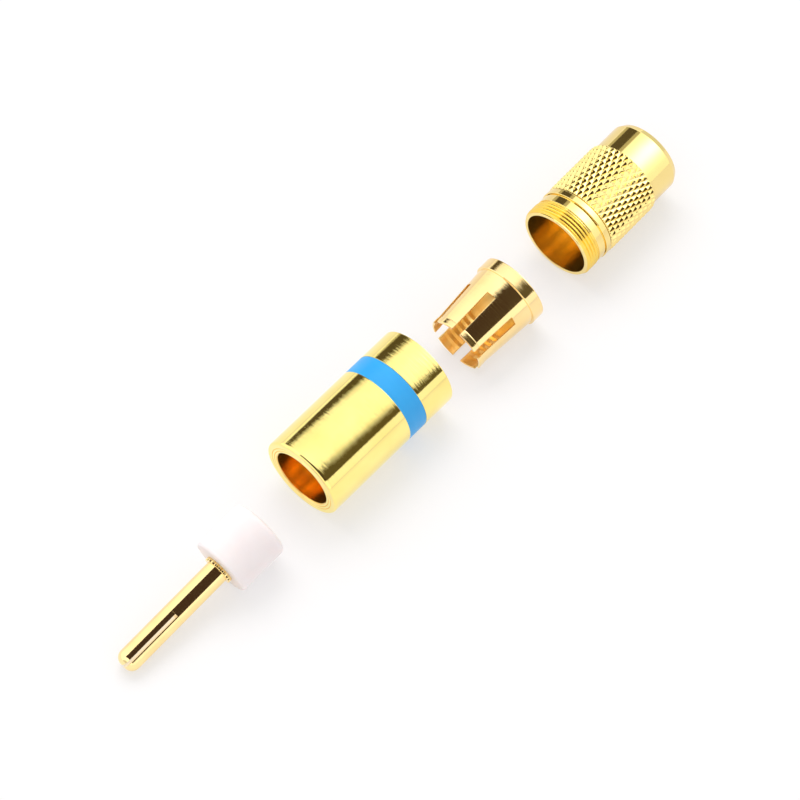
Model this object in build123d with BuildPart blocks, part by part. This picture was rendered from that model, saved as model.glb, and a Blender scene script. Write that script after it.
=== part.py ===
"""A phono plug taken apart and laid out in line: pin in its insulator, barrel with colour band,
slotted collet and knurled sleeve. Millimetres, floor at z = 0, the row runs along X, pin tip at -X."""
from build123d import *
from math import acos, atan2, cos, degrees, hypot, pi, radians, sin, sqrt, tan
import os

os.makedirs("parts", exist_ok=True)

# Centre pin
pin_d = 3.2
pin_length = 17.2
pin_tip_round = 1.25
slit_width = 0.42
slit_length = 9.0
slit_turn = 30.0
root_relief = 0.01
collar_d = 4.1
collar_thick = 0.55
collar_notches = 20
notch_depth = 0.15
shank_d = 3.0
shank_recess = 0.6
socket_d = 2.1
socket_depth = 5.0
undercut_depth = 0.2
undercut_width = 1.0

# Insulator
insulator_d = 8.3
insulator_length = 7.5
insulator_round = 0.45
shank_clearance = 0.02

# Collet
insulator_clearance = 0.03
ridge_depth = 0.06
ridge_pitch = 1.0
ridge_count = 5
lip_length = 0.9
finger_spring = 0.32
lip_wall = 0.34
lip_step = 0.06
lip_chamfer = 0.1
body_rear_wall = 0.54
collet_length = 11.35
flange_width = 1.87
flange_step = 0.28
flange_round = 0.12
slot_width = 1.3
slot_length = 6.8
slot_count = 6
slot_turn = 32.5

# Sleeve, front to rear
sleeve_bore_d = 9.6
thread_d = 11.0
thread_pitch = 0.5
thread_turns = 4
thread_depth = 0.24
rim_land = 0.3
runout_gap = 0.15
guide_d = 10.85
guide_length = 1.15
groove_width = 0.18
groove_depth = 0.35
shoulder_d = 11.15
shoulder_length = 0.85
knurl_d = 11.3
knurl_depth = 0.21
knurl_length = 9.0
knurl_teeth = 32
knurl_lead = 23.6
tail_d = 10.64
tail_length = 5.05
tail_chamfer_run = 0.85
tail_chamfer_drop = 0.42
sleeve_bore_depth = 11.0
cable_hole_d = 7.8
cable_hole_chamfer = 0.3

# Barrel and colour band
barrel_d = 11.8
barrel_length = 22.0
mouth_d = 8.4
mouth_chamfer = 0.12
mouth_round = 0.75
rear_chamfer = 0.12
collet_clearance = 0.1
flange_clearance = 0.05
thread_clearance = 0.05
cone_slope = 0.3
band_start = 14.0
band_width = 3.05
band_thick = 0.2
band_clearance = 0.01
band_recess = 0.03

# How the loose pieces lie on the floor
gap_pin_barrel = 7.9
gap_barrel_collet = 6.34
gap_collet_sleeve = 8.24
pin_side = 1.6
pin_yaw = -2.8
barrel_side = 1.7
barrel_yaw = -1.0
collet_side = 0.375
collet_yaw = -1.75

# Radii and lengths that follow from the sizes above
pin_r = pin_d / 2
root_r = pin_r - root_relief
shank_r = shank_d / 2
insulator_r = insulator_d / 2
collet_bore_r = insulator_r + insulator_clearance
finger_bore_r = collet_bore_r - finger_spring
finger_slope = finger_spring / slot_length
lip_r = finger_bore_r + lip_wall
open_lip_r = collet_bore_r + lip_wall
body_front_r = lip_r - lip_step
body_rear_r = collet_bore_r + body_rear_wall
flange_r = body_rear_r + flange_step
collet_body_length = collet_length - flange_width
sleeve_bore_r = sleeve_bore_d / 2
thread_r = thread_d / 2
thread_root_r = thread_r - thread_depth
guide_r = guide_d / 2
shoulder_r = shoulder_d / 2
knurl_r = knurl_d / 2
knurl_root_r = knurl_r - knurl_depth
tail_r = tail_d / 2
barrel_r = barrel_d / 2
mouth_r = mouth_d / 2

# Stations along the sleeve, from its front rim
thread_end = rim_land + thread_turns * thread_pitch
guide_start = thread_end + runout_gap
guide_end = guide_start + guide_length
shoulder_start = guide_end + groove_width
shoulder_end = shoulder_start + shoulder_length
knurl_start = shoulder_end + groove_width
knurl_end = knurl_start + knurl_length
sleeve_length = knurl_end + tail_length

# Stations along the barrel, from its mouth: the screwed-on sleeve stops at its shoulder,
# and the cone just clears the fingers when a socket's ring has opened them
thread_reach = shoulder_start
flange_seat = barrel_length - thread_reach - flange_width
collet_tip_seat = barrel_length - thread_reach - collet_length
cone_end_r = body_rear_r + collet_clearance
cone_start = collet_tip_seat - (open_lip_r - mouth_r) / cone_slope + lip_chamfer
cone_end = cone_start + (cone_end_r - mouth_r) / cone_slope
flange_bore_r = flange_r + flange_clearance
thread_bore_r = thread_r + thread_clearance

# The pin unit lies on the rounded pin tip and the insulator's rounded front edge,
# the collet on the front corners of its lip and its flange
rest_rise = (insulator_r - insulator_round) - (pin_r - pin_tip_round)
rest_run = (pin_length - pin_tip_round) + insulator_round
rest_lean = (pin_tip_round - insulator_round) / hypot(rest_rise, rest_run)
pin_tilt = degrees(acos(rest_lean) - atan2(rest_run, rest_rise))
collet_tilt = degrees(atan2(flange_r - lip_r, collet_body_length - lip_chamfer))
pin_height = ((insulator_r - insulator_round) * cos(radians(pin_tilt))
              + insulator_round * (1 - sin(radians(pin_tilt))))
collet_height = lip_r * cos(radians(collet_tilt)) - lip_chamfer * sin(radians(collet_tilt))

# Places along the row, centred on the origin
pin_run = pin_length * cos(radians(pin_tilt))
insulator_run = insulator_length * cos(radians(pin_tilt))
collet_run = collet_length * cos(radians(collet_tilt))
row_length = (pin_run + insulator_run + gap_pin_barrel + barrel_length + gap_barrel_collet
              + collet_run + gap_collet_sleeve + sleeve_length)
insulator_x = pin_run - row_length / 2
barrel_x = insulator_x + insulator_run + gap_pin_barrel
collet_x = barrel_x + barrel_length + gap_barrel_collet
sleeve_x = collet_x + collet_run + gap_collet_sleeve
row_side = -(barrel_side + barrel_r - knurl_r) / 2


def lying_plane(x, side, height, yaw, tilt):
    """Plane through a piece's axis: X runs back along the axis, Y is the radius that points up."""
    along = Vector(cos(radians(yaw)) * cos(radians(tilt)), sin(radians(yaw)) * cos(radians(tilt)), sin(radians(tilt)))
    across = Vector(sin(radians(yaw)), -cos(radians(yaw)), 0)
    return Plane(origin=(x, side + row_side, height), x_dir=along, z_dir=across)


def end_plane(plane, distance, turn=0.0):
    """Plane square to a piece's axis, its Y turned by an angle from the radius that points up."""
    centre = plane.origin + plane.x_dir * distance
    up = plane.y_dir.rotate(Axis((0, 0, 0), plane.x_dir), turn)
    return Plane(origin=centre, x_dir=up.cross(plane.x_dir), z_dir=plane.x_dir)


def spin_axis(plane):
    return Axis(plane.origin, plane.x_dir)


def rounded_corner(x, y, radius, start, end, chords=3):
    """Points of a corner rounded about (x, y) in short chords, between two directions in degrees."""
    turns = [radians(start + (end - start) * i / chords) for i in range(chords + 1)]
    return [(x + radius * cos(turn), y + radius * sin(turn)) for turn in turns]


def ring_teeth(start, count, pitch, low_r, high_r, slope=0.0):
    """Outline of a row of ridges along a line that rises by slope from low_r: each ridge adds high_r - low_r."""
    points = [(start, low_r)]
    for turn in range(count):
        points.append((start + (turn + 0.5) * pitch, high_r + slope * (turn + 0.5) * pitch))
        points.append((start + (turn + 1.0) * pitch, low_r + slope * (turn + 1.0) * pitch))
    return points


def knurl_blank(plane):
    """Crossed knurl: where a left-hand and a right-hand twisted serrated bar meet."""
    twist = degrees(tan(radians(knurl_lead)) * knurl_length / knurl_r)
    step = pi / knurl_teeth
    with BuildSketch(end_plane(plane, knurl_start)) as serration:
        with BuildLine():
            Polyline(*[((knurl_r if i % 2 == 0 else knurl_root_r) * cos(i * step),
                        (knurl_r if i % 2 == 0 else knurl_root_r) * sin(i * step))
                       for i in range(2 * knurl_teeth)], close=True)
        make_face()
    centre = plane.origin + plane.x_dir * knurl_start
    section = serration.sketch.faces()[0]
    run = plane.x_dir * knurl_length
    right_hand = Solid.extrude_linear_with_rotation(section, centre, run, twist)
    left_hand = Solid.extrude_linear_with_rotation(section, centre, run, -twist)
    return right_hand & left_hand


pin_plane = lying_plane(insulator_x, pin_side, pin_height, pin_yaw, pin_tilt)
barrel_plane = lying_plane(barrel_x, barrel_side, barrel_r, barrel_yaw, 0.0)
collet_plane = lying_plane(collet_x, collet_side, collet_height, collet_yaw, collet_tilt)
sleeve_plane = lying_plane(sleeve_x, 0.0, knurl_r, 0.0, 0.0)

# Centre pin: split round tip on a root a hair thinner, serrated collar, barbed shank with a solder socket
shank_end = insulator_length - shank_recess
barb_start = shank_end / 2 - undercut_width / 2
with BuildPart() as centre_pin:
    with BuildSketch(pin_plane):
        with BuildLine():
            Polyline((-pin_length, 0),
                     *rounded_corner(-pin_length + pin_tip_round, pin_r - pin_tip_round, pin_tip_round, 180, 90),
                     (-pin_length + slit_length, pin_r), (-pin_length + slit_length, root_r),
                     (-collar_thick / 2, root_r),
                     (-collar_thick / 2, shank_r), (barb_start, shank_r),
                     (barb_start, shank_r - undercut_depth),
                     (barb_start + undercut_width, shank_r - undercut_depth),
                     (barb_start + undercut_width, shank_r), (shank_end, shank_r),
                     (shank_end, socket_d / 2), (shank_end - socket_depth, socket_d / 2),
                     (shank_end - socket_depth - socket_d / 4, 0), (-pin_length, 0))
        make_face()
    revolve(axis=spin_axis(pin_plane))
    with BuildSketch(end_plane(pin_plane, -collar_thick)):
        Circle(collar_d / 2)
        with PolarLocations(collar_d / 2, collar_notches):
            Rectangle(notch_depth * sqrt(2), notch_depth * sqrt(2), rotation=45, mode=Mode.SUBTRACT)
    extrude(amount=collar_thick)
    with BuildSketch(end_plane(pin_plane, -pin_length, slit_turn)):
        Rectangle(slit_width, pin_d + 1)
    extrude(amount=slit_length, mode=Mode.SUBTRACT)
centre_pin.part.label = "centre_pin"
export_step(centre_pin.part, "parts/centre_pin.step")

# Insulator: the shank passes through it and the collar bears on its front face
with BuildPart() as insulator:
    with BuildSketch(pin_plane):
        with BuildLine():
            Polyline((0, shank_r + shank_clearance),
                     *rounded_corner(insulator_round, insulator_r - insulator_round, insulator_round, 180, 90),
                     *rounded_corner(insulator_length - insulator_round, insulator_r - insulator_round,
                                     insulator_round, 90, 0),
                     (insulator_length, shank_r + shank_clearance), close=True)
        make_face()
    revolve(axis=spin_axis(pin_plane))
insulator.part.label = "insulator"
export_step(insulator.part, "parts/insulator.step")

# Barrel: mouth for the socket's ring, closing cone for the collet, seat for its flange,
# screwed rear end, and the shallow groove of the colour band
band_groove_r = barrel_r - band_recess - band_thick
with BuildPart() as barrel:
    with BuildSketch(barrel_plane):
        with BuildLine():
            Polyline((0, mouth_r + mouth_chamfer),
                     *rounded_corner(mouth_round, barrel_r - mouth_round, mouth_round, 180, 90),
                     (band_start - band_clearance, barrel_r),
                     (band_start - band_clearance, band_groove_r),
                     (band_start + band_width + band_clearance, band_groove_r),
                     (band_start + band_width + band_clearance, barrel_r),
                     (barrel_length - rear_chamfer, barrel_r), (barrel_length, barrel_r - rear_chamfer),
                     (barrel_length, thread_bore_r),
                     (flange_seat + flange_width, thread_bore_r),
                     (flange_seat + flange_width, flange_bore_r), (flange_seat, flange_bore_r),
                     (flange_seat, cone_end_r), (cone_end, cone_end_r), (cone_start, mouth_r),
                     (mouth_chamfer, mouth_r), close=True)
        make_face()
    revolve(axis=spin_axis(barrel_plane))
barrel.part.label = "barrel"
export_step(barrel.part, "parts/barrel.step")

with BuildPart() as colour_band:
    with BuildSketch(end_plane(barrel_plane, band_start)):
        Circle(barrel_r - band_recess)
        Circle(band_groove_r, mode=Mode.SUBTRACT)
    extrude(amount=band_width)
colour_band.part.label = "colour_band"
export_step(colour_band.part, "parts/colour_band.step")

# Collet: a thin tapered tube with a raised lip and grip ridges, split into springy fingers that close inwards
grip_start_r = finger_bore_r + finger_slope * lip_length
with BuildPart() as collet:
    with BuildSketch(collet_plane):
        with BuildLine():
            Polyline((0, finger_bore_r), (0, lip_r - lip_chamfer), (lip_chamfer, lip_r), (lip_length, lip_r),
                     (lip_length + lip_step, body_front_r),
                     (collet_body_length, body_rear_r), (collet_body_length, flange_r),
                     (collet_length - flange_round, flange_r), (collet_length, flange_r - flange_round),
                     (collet_length, collet_bore_r), (slot_length, collet_bore_r),
                     *reversed(ring_teeth(lip_length, ridge_count, ridge_pitch, grip_start_r,
                                          grip_start_r + ridge_depth, finger_slope)),
                     (0, finger_bore_r))
        make_face()
    revolve(axis=spin_axis(collet_plane))
    with BuildSketch(end_plane(collet_plane, 0.0, slot_turn)):
        for slot in range(slot_count // 2):
            Rectangle(2 * flange_r, slot_width, rotation=slot * 360 / slot_count)
    extrude(amount=slot_length, mode=Mode.SUBTRACT)
collet.part.label = "collet"
export_step(collet.part, "parts/collet.step")

# Sleeve: thread, guide band, shoulder, knurled grip and smooth tail with the cable hole
with BuildPart() as sleeve:
    with BuildSketch(sleeve_plane):
        with BuildLine():
            Polyline((0, 0), (0, thread_root_r), (rim_land / 2, thread_r - thread_depth / 2),
                     (rim_land, thread_root_r),
                     *ring_teeth(rim_land, thread_turns, thread_pitch, thread_root_r, thread_r)[1:],
                     (guide_start, thread_root_r), (guide_start, guide_r), (guide_end, guide_r),
                     (guide_end, shoulder_r - groove_depth), (shoulder_start, shoulder_r - groove_depth),
                     (shoulder_start, shoulder_r), (shoulder_end, shoulder_r),
                     (shoulder_end, shoulder_r - groove_depth), (knurl_start, shoulder_r - groove_depth),
                     (knurl_end, shoulder_r - groove_depth), (knurl_end, tail_r),
                     (sleeve_length - tail_chamfer_run, tail_r),
                     (sleeve_length, tail_r - tail_chamfer_drop),
                     (sleeve_length, 0), close=True)
        make_face()
    revolve(axis=spin_axis(sleeve_plane))
    add(knurl_blank(sleeve_plane))
    with BuildSketch(sleeve_plane):
        with BuildLine():
            Polyline((0, 0), (0, sleeve_bore_r), (sleeve_bore_depth, sleeve_bore_r),
                     (sleeve_bore_depth, cable_hole_d / 2),
                     (sleeve_length - cable_hole_chamfer, cable_hole_d / 2),
                     (sleeve_length, cable_hole_d / 2 + cable_hole_chamfer), (sleeve_length, 0), close=True)
        make_face()
    revolve(axis=spin_axis(sleeve_plane), mode=Mode.SUBTRACT)
sleeve.part.label = "sleeve"
export_step(sleeve.part, "parts/sleeve.step")
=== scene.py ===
"""Dresses a phono plug that lies taken apart in one row on a pale studio floor.

Sizes are millimetres, as on the maker's drawing, and turn into metres where a mesh is filled. Every
piece is described by a station along its own axis, a radius and a turn about the axis, where turn 0
points to +Y and a quarter turn points up.
"""

import logging
import math
from dataclasses import dataclass, field
from enum import Enum

import bmesh
import bpy
import numpy as np
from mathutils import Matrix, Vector


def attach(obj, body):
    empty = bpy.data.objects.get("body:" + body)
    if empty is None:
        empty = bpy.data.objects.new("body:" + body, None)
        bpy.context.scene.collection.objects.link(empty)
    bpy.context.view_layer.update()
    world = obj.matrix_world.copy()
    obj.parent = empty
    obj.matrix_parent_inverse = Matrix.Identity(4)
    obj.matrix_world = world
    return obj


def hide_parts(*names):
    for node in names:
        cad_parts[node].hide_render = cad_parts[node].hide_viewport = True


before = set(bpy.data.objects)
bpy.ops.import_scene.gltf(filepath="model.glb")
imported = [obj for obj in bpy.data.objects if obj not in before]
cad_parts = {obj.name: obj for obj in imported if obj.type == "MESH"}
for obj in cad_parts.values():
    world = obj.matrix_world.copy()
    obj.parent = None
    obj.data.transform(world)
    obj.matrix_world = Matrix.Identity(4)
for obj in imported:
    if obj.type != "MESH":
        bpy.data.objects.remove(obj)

MM = 0.001
LOG = logging.getLogger("plug")
Colour = tuple[float, float, float]


# Curves and grids


def unit(vectors: np.ndarray) -> np.ndarray:
    """Vectors scaled to length one along their last axis.

    Args:
        vectors: any array whose last axis holds the components.

    Returns:
        The array divided by its own lengths, with lengths of nothing left alone.
    """
    length = np.linalg.norm(vectors, axis=-1, keepdims=True)
    return vectors / np.where(length < 1e-12, 1.0, length)


def softened(corners: list[tuple[float, float, float]], steps: int = 5, closed: bool = True) -> np.ndarray:
    """Profile of (station, radius) points with its corners rounded.

    A corner P with directions a and b to its neighbours and rounding r gives the curve
    (1-u)^2 (P + t a) + 2u(1-u) P + u^2 (P + t b), where t = r / tan(half the corner's angle),
    at most 0.45 of the shorter side. Long straight sides get a point close to each end, so that
    the shading of a flat face isn't bent by the rounding beside it.

    Args:
        corners: rows of (station, radius, rounding).
        steps: chords in each rounding.
        closed: whether the last corner joins the first.

    Returns:
        Array of (station, radius) rows.
    """
    table = np.array(corners, float)
    spot, round_r = table[:, :2], table[:, 2]
    back, fore = np.roll(spot, 1, 0) - spot, np.roll(spot, -1, 0) - spot
    reach = np.minimum(np.linalg.norm(back, axis=1), np.linalg.norm(fore, axis=1))
    a, b = unit(back), unit(fore)
    half = np.arccos(np.clip((a * b).sum(1), -1.0, 1.0)) / 2
    t = np.minimum(round_r / np.maximum(np.tan(half), 1e-6), 0.45 * reach)
    if not closed:
        t[[0, -1]] = 0.0
    u = np.linspace(0.0, 1.0, steps + 1)[None, :, None]
    p = spot[:, None, :]
    curve = (1 - u) ** 2 * (p + t[:, None, None] * a[:, None, :]) + 2 * u * (1 - u) * p \
        + u ** 2 * (p + t[:, None, None] * b[:, None, :])
    points = curve.reshape(-1, 2)
    follow = np.roll(points, -1, 0)
    keep = np.linalg.norm(follow - points, axis=1) > 1e-6
    if not closed:
        keep[-1] = True
    points = points[keep]
    return braced(points, 0.03, closed)


def braced(points: np.ndarray, reach: float, closed: bool = True) -> np.ndarray:
    """Profile with an extra point close to both ends of each long side.

    Args:
        points: (station, radius) rows.
        reach: how far from an end the extra point stands.
        closed: whether the last point joins the first.

    Returns:
        The longer array, where each side over four reaches has gained two points.
    """
    follow = np.roll(points, -1, 0)
    side = follow - points
    length = np.linalg.norm(side, axis=1)
    step = unit(side) * reach
    triple = np.stack([points, points + step, follow - step], axis=1)
    mask = np.stack([np.ones_like(length, bool), length > 4 * reach, length > 4 * reach], axis=1)
    if not closed:
        mask[-1, 1:] = False
    return triple[mask]


def lattice(rows: int, columns: int, wrap_rows: bool, wrap_columns: bool) -> np.ndarray:
    """Corner numbers of the quads of a grid whose point (i, j) has the number i * columns + j.

    Args:
        rows: points along the first direction.
        columns: points along the second direction.
        wrap_rows: whether the last row joins the first.
        wrap_columns: whether the last column joins the first.

    Returns:
        Array of quads, four numbers each.
    """
    i = np.arange(rows if wrap_rows else rows - 1)
    j = np.arange(columns if wrap_columns else columns - 1)
    i, j = np.meshgrid(i, j, indexing="ij")
    i2, j2 = (i + 1) % rows, (j + 1) % columns
    quads = np.stack([i * columns + j, i * columns + j2, i2 * columns + j2, i2 * columns + j], axis=-1)
    return quads.reshape(-1, 4)


def vee(place: np.ndarray) -> np.ndarray:
    """V wave: 0 at whole numbers, 1 halfway between them and straight from one to the other."""
    return 1 - np.abs(place % 1.0 - 0.5) * 2


@dataclass(frozen=True)
class Lay:
    """How a loose piece lies: its axis starts at (x, side, height) and runs back, yawed and tilted."""

    x: float
    side: float
    height: float
    yaw: float = 0.0
    tilt: float = 0.0

    def axes(self) -> tuple[np.ndarray, np.ndarray, np.ndarray, np.ndarray]:
        """Start of the axis, its direction, and the unit vectors that turns are measured between.

        Returns:
            (start, along, over, above): along = (cos yaw cos tilt, sin yaw cos tilt, sin tilt),
            over is level and square to it on the +Y side, and above completes the three.
        """
        yaw, tilt = math.radians(self.yaw), math.radians(self.tilt)
        along = np.array([math.cos(yaw) * math.cos(tilt), math.sin(yaw) * math.cos(tilt), math.sin(tilt)])
        over = np.array([-math.sin(yaw), math.cos(yaw), 0.0])
        return np.array([self.x, self.side, self.height]), along, over, np.cross(along, over)

    def place(self, station: np.ndarray, radius: np.ndarray, turn: np.ndarray) -> np.ndarray:
        """Points start + station * along + radius * (cos turn * over + sin turn * above).

        Args:
            station: distance back along the axis.
            radius: distance from the axis.
            turn: angle about the axis in radians.

        Returns:
            Array of points with the shape the three arguments broadcast to, plus an axis of three.
        """
        start, along, over, above = self.axes()
        station, radius, turn = np.broadcast_arrays(station, radius, turn)
        return (start + station[..., None] * along
                + (radius * np.cos(turn))[..., None] * over + (radius * np.sin(turn))[..., None] * above)


class Mould:
    """Fills Blender meshes from whole arrays."""

    POLE_MERGE = 2e-7
    BORE_LEAN = 0.1
    STEP_LEAN = 0.5
    END_MARGIN = 0.6

    @staticmethod
    def cast(name: str, points: np.ndarray, faces: np.ndarray,
             wrap: np.ndarray | None = None) -> bpy.types.Object:
        """A mesh object from points in millimetres.

        Args:
            name: the object's name.
            points: (n, 3) array.
            faces: (m, k) array of corner numbers, k the same for every face.
            wrap: (n, 2) array for the UV map, in millimetres round and along the piece.

        Returns:
            The linked object, smooth shaded, at the origin.
        """
        mesh = bpy.data.meshes.new(name)
        count, corners = faces.shape
        mesh.vertices.add(len(points))
        mesh.vertices.foreach_set("co", (points * MM).astype(np.float32).ravel())
        mesh.loops.add(count * corners)
        mesh.loops.foreach_set("vertex_index", faces.astype(np.int32).ravel())
        mesh.polygons.add(count)
        mesh.polygons.foreach_set("loop_start", np.arange(0, count * corners, corners, dtype=np.int32))
        mesh.update(calc_edges=True)
        if wrap is not None:
            layer = mesh.uv_layers.new(name="Wrap")
            layer.data.foreach_set("uv", wrap[faces.ravel()].astype(np.float32).ravel())
        mesh.polygons.foreach_set("use_smooth", np.ones(count, bool))
        mesh.validate()
        piece = bpy.data.objects.new(name, mesh)
        bpy.context.scene.collection.objects.link(piece)
        return piece

    @staticmethod
    def close(piece: bpy.types.Object) -> bpy.types.Object:
        """Merges points that fall together, as at a pole, and turns every face outwards.

        Args:
            piece: a mesh object.

        Returns:
            The same object.
        """
        shell = bmesh.new()
        shell.from_mesh(piece.data)
        bmesh.ops.remove_doubles(shell, verts=shell.verts, dist=Mould.POLE_MERGE)
        bmesh.ops.recalc_face_normals(shell, faces=shell.faces)
        shell.to_mesh(piece.data)
        shell.free()
        return piece

    @staticmethod
    def lined(piece: bpy.types.Object, lay: Lay, lining: bpy.types.Material,
              reach: float = 0.0) -> bpy.types.Object:
        """Gives the walls of a bore a second material.

        A face belongs to the bore when its normal looks at the axis, or when it is a step inside the
        bore: square to the axis, no further from it than reach and away from both ends.

        Args:
            piece: a turned object that already has its first material.
            lay: where it lies.
            lining: the second material.
            reach: radius of the widest step.

        Returns:
            The same object.
        """
        count = len(piece.data.polygons)
        centre, normal = np.empty(count * 3), np.empty(count * 3)
        piece.data.polygons.foreach_get("center", centre)
        piece.data.polygons.foreach_get("normal", normal)
        start, along, _, _ = lay.axes()
        rest, normal = centre.reshape(-1, 3) / MM - start, normal.reshape(-1, 3)
        station = rest @ along
        radial = rest - station[:, None] * along
        size = np.linalg.norm(radial, axis=1)
        inward = (radial * normal).sum(1) < -Mould.BORE_LEAN * size
        inner = (station > Mould.END_MARGIN) & (station < station.max() - Mould.END_MARGIN)
        step = (np.abs(normal @ along) > Mould.STEP_LEAN) & (size < reach) & inner
        piece.data.materials.append(lining)
        piece.data.polygons.foreach_set("material_index", (inward | step).astype(np.int32))
        piece.data.update()
        return piece

    @staticmethod
    def ring(lay: Lay, station: np.ndarray, radius: np.ndarray, turn: np.ndarray,
             mean: float) -> tuple[np.ndarray, np.ndarray]:
        """Points and UV map of a grid round an axis: row i stands at station[i] and column j at turn[j].

        Args:
            lay: where the piece lies.
            station: one value for each row.
            radius: rows by columns, or one column.
            turn: one value for each column.
            mean: radius at which the UV map measures the way round.

        Returns:
            (points, wrap), both one row for each grid point.
        """
        points = lay.place(station[:, None], radius, turn[None, :]).reshape(-1, 3)
        wrap = np.stack(np.broadcast_arrays(turn[None, :] * mean, station[:, None]), axis=-1)
        return points, wrap.reshape(-1, 2)

    @staticmethod
    def spun(name: str, lay: Lay, profile: np.ndarray, around: int = 256,
             closed: bool = True) -> bpy.types.Object:
        """Surface of revolution: point (i, j) is the profile's point i at the turn 2 pi j / around.

        Args:
            name: the object's name.
            lay: where the piece lies.
            profile: (station, radius) rows.
            around: points round the axis.
            closed: whether the profile's end joins its start.

        Returns:
            The object, its seam at the underside.
        """
        turn = np.linspace(0.0, 2 * math.pi, around + 1) - math.pi / 2
        run = np.concatenate([[0.0], np.cumsum(np.linalg.norm(np.diff(profile, axis=0), axis=1))])
        widest = float(profile[:, 1].max())
        points, wrap = Mould.ring(lay, profile[:, 0], profile[:, 1][:, None], turn, widest)
        wrap[:, 1] = np.repeat(run, around + 1)
        if closed:
            points = np.concatenate([points, points[:around + 1]])
            wrap = np.concatenate([wrap, wrap[:around + 1] + [0.0, run[-1] + 0.1]])
        faces = lattice(len(points) // (around + 1), around + 1, False, False)
        return Mould.close(Mould.cast(name, points, faces, wrap))


# Finishes


class Signal:
    """A socket that takes part in Python arithmetic: each operator adds one Math node."""

    def __init__(self, bench: "Bench", socket: bpy.types.NodeSocket) -> None:
        """Wraps an output socket of a bench's tree."""
        self.bench, self.socket = bench, socket

    def _math(self, kind: str, *values: "Signal | float") -> "Signal":
        """The output of a Math node of that kind on these values."""
        return self.bench.add("ShaderNodeMath", {"operation": kind}, dict(enumerate(values)))

    def __add__(self, other: "Signal | float") -> "Signal":
        """self + other."""
        return self._math("ADD", self, other)

    __radd__ = __add__

    def __sub__(self, other: "Signal | float") -> "Signal":
        """self - other."""
        return self._math("SUBTRACT", self, other)

    def __rsub__(self, other: float) -> "Signal":
        """other - self."""
        return self._math("SUBTRACT", other, self)

    def __mul__(self, other: "Signal | float") -> "Signal":
        """self * other."""
        return self._math("MULTIPLY", self, other)

    __rmul__ = __mul__

    def power(self, other: "Signal | float") -> "Signal":
        """self to the power other."""
        return self._math("POWER", self, other)

    def exp(self) -> "Signal":
        """e to the power self."""
        return self._math("EXPONENT", self)

    def angle(self, other: "Signal") -> "Signal":
        """Angle in degrees of the point (other, self)."""
        return self._math("ARCTAN2", self, other) * (180.0 / math.pi)

    def clipped(self) -> "Signal":
        """self held between 0 and 1."""
        return self._math("MINIMUM", self._math("MAXIMUM", self, 0.0), 1.0)

    def hill(self, middle: float, width: float) -> "Signal":
        """Bell curve, e to the power -((self - middle) / width)^2."""
        return (((self - middle) * (1.0 / width)).power(2.0) * -1.0).exp()

    def ramp(self, low: float, high: float) -> "Signal":
        """0 below low, 1 above high and straight between them."""
        return ((self - low) * (1.0 / (high - low))).clipped()


class Bench:
    """Builds one node tree: every node comes from add()."""

    def __init__(self, owner: bpy.types.Material | bpy.types.World) -> None:
        """Starts an empty tree on a material or a world."""
        owner.use_nodes = True
        self.owner, self.tree = owner, owner.node_tree
        self.tree.nodes.clear()

    def add(self, kind: str, settings: dict | None = None, values: dict | None = None,
            output: int | str = 0) -> Signal:
        """Adds a node, sets it up and links or fills its inputs.

        Args:
            kind: the node's type name.
            settings: its properties, and "stops" for a colour ramp's (place, colour) pairs.
            values: by input name or number, a Signal to link or a plain value.
            output: which output to hand back.

        Returns:
            That output as a Signal.
        """
        node = self.tree.nodes.new(kind)
        for key, value in (settings or {}).items():
            if key == "stops":
                self._stops(node.color_ramp, value)
            else:
                setattr(node, key, value)
        for key, value in (values or {}).items():
            if isinstance(value, Signal):
                self.tree.links.new(value.socket, node.inputs[key])
            else:
                node.inputs[key].default_value = value
        return Signal(self, node.outputs[output]) if len(node.outputs) else Signal(self, None)

    @staticmethod
    def _stops(ramp: bpy.types.ColorRamp, stops: list[tuple[float, Colour]]) -> None:
        """Gives a ramp these stops."""
        while len(ramp.elements) > 1:
            ramp.elements.remove(ramp.elements[-1])
        for number, (place, colour) in enumerate(stops):
            element = ramp.elements[0] if number == 0 else ramp.elements.new(place)
            element.position, element.color = place, (*colour, 1.0)

    def wrap(self, round_scale: float, along_scale: float) -> Signal:
        """The piece's own UV map stretched by a factor round it and one along it."""
        spread = self.add("ShaderNodeUVMap", {"uv_map": "Wrap"})
        return self.add("ShaderNodeVectorMath", {"operation": "MULTIPLY"},
                        {0: spread, 1: (round_scale, along_scale, 1.0)})

    def noise(self, vector: Signal, scale: float, detail: float = 2.0, rough: float = 0.5) -> Signal:
        """Noise texture's value at a vector."""
        return self.add("ShaderNodeTexNoise", {"noise_dimensions": "3D"},
                        {"Vector": vector, "Scale": scale, "Detail": detail, "Roughness": rough})

    def object_space(self) -> Signal:
        """Object coordinates, in metres."""
        return self.add("ShaderNodeTexCoord", None, None, "Object")

    def blend(self, share: Signal | float, first: Signal | Colour, second: Signal | Colour) -> Signal:
        """Colour mix of two colours by a share."""
        first, second = (side if isinstance(side, Signal) else (*side, 1.0) for side in (first, second))
        return self.add("ShaderNodeMix", {"data_type": "RGBA"}, {0: share, 6: first, 7: second}, 2)

    def bump(self, height: Signal, depth: float, normal: Signal | None = None) -> Signal:
        """Normal bent by a height field that is so many millimetres deep."""
        values = {"Height": height, "Distance": depth * MM, "Strength": 1.0}
        if normal is not None:
            values["Normal"] = normal
        return self.add("ShaderNodeBump", None, values)

    def glow(self, colour: Signal | tuple[float, ...], strength: Signal | float = 1.0) -> Signal:
        """Emission of a colour at a strength."""
        return self.add("ShaderNodeEmission", None, {"Color": colour, "Strength": strength})

    def surface(self, shader: Signal) -> None:
        """Ends the tree in this shader."""
        world = isinstance(self.owner, bpy.types.World)
        self.add("ShaderNodeOutputWorld" if world else "ShaderNodeOutputMaterial", None, {"Surface": shader})


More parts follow.
